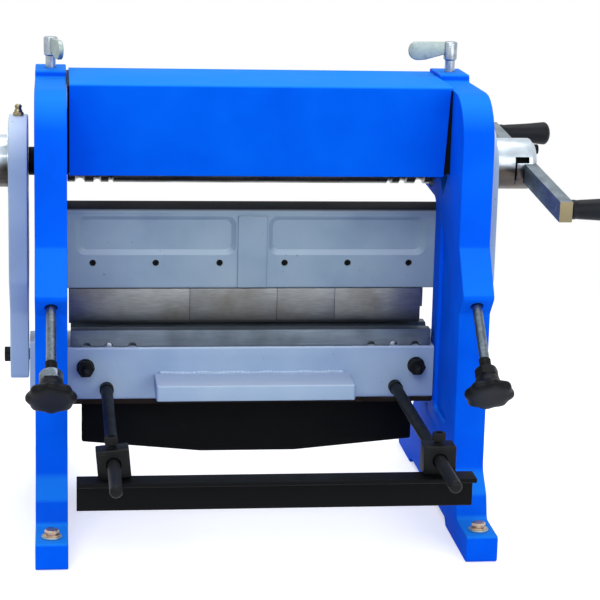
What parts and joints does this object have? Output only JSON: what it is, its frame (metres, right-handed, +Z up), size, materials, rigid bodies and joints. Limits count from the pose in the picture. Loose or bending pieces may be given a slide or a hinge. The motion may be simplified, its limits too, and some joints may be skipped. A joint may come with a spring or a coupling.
{
  "type": "combination sheet metal machine",
  "caption": "Bench machine that shears, bends and rolls sheet metal, with two cast side frames, rolls under a bent cover, a brake bed lifted by crank links and a rod gauge.",
  "frame": {"origin": "centre of the footprint of the whole machine's box, on the bench under the feet", "axes": "+X along the rolls to the right seen from the gauge side, +Y from the gauge side to the shear side, +Z up"},
  "size_m": [0.6016, 0.482, 0.399],
  "materials": {
    "blue_paint": "gloss",
    "grey_paint": "satin",
    "black_steel": "satin",
    "ground_steel": "ground",
    "turned_steel": "turned",
    "zinc_plate": "bright",
    "yellow_zinc": "bright",
    "bronze": "satin",
    "black_plastic": "satin"
  },
  "bodies": {
    "stand": {"left_frame": "blue_paint", "right_frame": "blue_paint", "left_front_foot_bolt": "yellow_zinc", "left_rear_foot_bolt": "yellow_zinc", "right_front_foot_bolt": "yellow_zinc", "right_rear_foot_bolt": "yellow_zinc", "roll_cover": "blue_paint", "upper_beam": "grey_paint", "left_beam_bolt": "black_steel", "right_beam_bolt": "black_steel", "brake_finger_1": "ground_steel", "brake_finger_2": "ground_steel", "brake_finger_3": "ground_steel", "brake_finger_4": "ground_steel", "upper_blade": "ground_steel", "left_bush": "bronze", "right_bush": "bronze"},
    "moving_bed": {"bed": "grey_paint", "lower_die": "ground_steel", "lower_blade": "ground_steel", "work_rest": "grey_paint", "stiffener_plate": "black_steel", "left_bed_stud": "black_steel", "right_bed_stud": "black_steel", "left_gauge_rod": "black_steel", "right_gauge_rod": "black_steel"},
    "gauge": {"left_gauge_block": "black_steel", "right_gauge_block": "black_steel", "left_gauge_screw": "black_steel", "right_gauge_screw": "black_steel", "gauge_angle": "black_steel"},
    "crank": {"drive_roll": "turned_steel", "drive_gear": "ground_steel", "left_crank_hub": "zinc_plate", "right_crank_hub": "zinc_plate", "left_crank_bar": "ground_steel", "right_crank_bar": "ground_steel"},
    "left_front_grip": {"left_front_grip": "black_plastic"},
    "left_rear_grip": {"left_rear_grip": "black_plastic"},
    "right_front_grip": {"right_front_grip": "black_plastic"},
    "right_rear_grip": {"right_rear_grip": "black_plastic"},
    "left_link": {"left_link": "grey_paint", "left_grease_nipple": "yellow_zinc", "left_link_bolt": "black_steel"},
    "right_link": {"right_link": "grey_paint", "right_grease_nipple": "yellow_zinc", "right_link_bolt": "black_steel"},
    "upper_carriage": {"left_upper_bearing": "bronze", "right_upper_bearing": "bronze"},
    "upper_roll": {"upper_roll": "turned_steel", "upper_gear": "ground_steel"},
    "left_clamp": {"left_clamp_lever": "zinc_plate"},
    "right_clamp": {"right_clamp_lever": "zinc_plate"},
    "bending_carriage": {"left_bending_bearing": "bronze", "right_bending_bearing": "bronze"},
    "bending_roll": {"bending_roll": "turned_steel"},
    "left_adjuster": {"left_star_knob": "black_plastic", "left_adjusting_screw": "turned_steel"},
    "right_adjuster": {"right_star_knob": "black_plastic", "right_adjusting_screw": "turned_steel"}
  },
  "joints": [
    {"name": "crank_turn", "type": "hinge", "parent": "stand", "child": "crank", "pos_m": [0, 0.08904, 0.292], "axis": [1, 0, 0], "range_deg": [-75, 75]},
    {"name": "left_link_turn", "type": "hinge", "parent": "crank", "child": "left_link", "pos_m": [-0.2005, 0.08204, 0.292], "axis": [1, 0, 0], "range_deg": [-75.5, 75.5]},
    {"name": "right_link_turn", "type": "hinge", "parent": "crank", "child": "right_link", "pos_m": [0.2005, 0.08204, 0.292], "axis": [1, 0, 0], "range_deg": [-75.5, 75.5]},
    {"name": "left_front_grip_spin", "type": "hinge", "parent": "crank", "child": "left_front_grip", "pos_m": [-0.27, -0.05142, 0.27693], "axis": [1, 0, 0], "continuous": true},
    {"name": "left_rear_grip_spin", "type": "hinge", "parent": "crank", "child": "left_rear_grip", "pos_m": [-0.27, 0.23016, 0.2981], "axis": [1, 0, 0], "continuous": true},
    {"name": "right_front_grip_spin", "type": "hinge", "parent": "crank", "child": "right_front_grip", "pos_m": [0.27, -0.05142, 0.27693], "axis": [1, 0, 0], "continuous": true},
    {"name": "right_rear_grip_spin", "type": "hinge", "parent": "crank", "child": "right_rear_grip", "pos_m": [0.27, 0.23016, 0.2981], "axis": [1, 0, 0], "continuous": true},
    {"name": "bed_lift", "type": "slide", "parent": "stand", "child": "moving_bed", "axis": [0, 0, 1], "range_m": [-0.00734, 0.00734]},
    {"name": "gauge_slide", "type": "slide", "parent": "moving_bed", "child": "gauge", "axis": [0, 1, 0], "range_m": [-0.06, 0.17]},
    {"name": "upper_roll_lift", "type": "slide", "parent": "stand", "child": "upper_carriage", "axis": [0, 0, 1], "range_m": [-0.0007, 0.0023]},
    {"name": "upper_roll_turn", "type": "hinge", "parent": "upper_carriage", "child": "upper_roll", "pos_m": [0, 0.08904, 0.329], "axis": [1, 0, 0], "range_deg": [-75.5, 75.5]},
    {"name": "left_clamp_turn", "type": "hinge", "parent": "upper_carriage", "child": "left_clamp", "pos_m": [-0.173, 0.08904, 0.39], "axis": [0, 0, 1], "range_deg": [-168.5, 552.5]},
    {"name": "right_clamp_turn", "type": "hinge", "parent": "upper_carriage", "child": "right_clamp", "pos_m": [0.173, 0.08904, 0.39], "axis": [0, 0, 1], "range_deg": [-168.5, 552.5]},
    {"name": "bending_roll_slide", "type": "slide", "parent": "stand", "child": "bending_carriage", "axis": [0, 0.7314, 0.682], "range_m": [-0.022, 0.008]},
    {"name": "bending_roll_spin", "type": "hinge", "parent": "bending_carriage", "child": "bending_roll", "pos_m": [0, 0.04704, 0.3062], "axis": [1, 0, 0], "continuous": true},
    {"name": "left_adjuster_turn", "type": "hinge", "parent": "bending_carriage", "child": "left_adjuster", "pos_m": [-0.173, 0.04704, 0.3062], "axis": [0, 0.7314, 0.682], "range_deg": [-5281, 1921]},
    {"name": "right_adjuster_turn", "type": "hinge", "parent": "bending_carriage", "child": "right_adjuster", "pos_m": [0.173, 0.04704, 0.3062], "axis": [0, 0.7314, 0.682], "range_deg": [-5281, 1921]}
  ],
  "couplings": [
    {"joint": "left_link_turn", "follows": "crank_turn", "ratio": -1},
    {"joint": "right_link_turn", "follows": "crank_turn", "ratio": -1},
    {"joint": "bed_lift", "follows": "crank_turn", "m_per_rad": -0.0056},
    {"joint": "upper_roll_turn", "follows": "crank_turn", "ratio": -1},
    {"joint": "left_clamp_turn", "follows": "upper_roll_lift", "rad_per_m": 4188.8},
    {"joint": "right_clamp_turn", "follows": "upper_roll_lift", "rad_per_m": 4188.8},
    {"joint": "left_adjuster_turn", "follows": "bending_roll_slide", "rad_per_m": 4188.8},
    {"joint": "right_adjuster_turn", "follows": "bending_roll_slide", "rad_per_m": 4188.8}
  ]
}
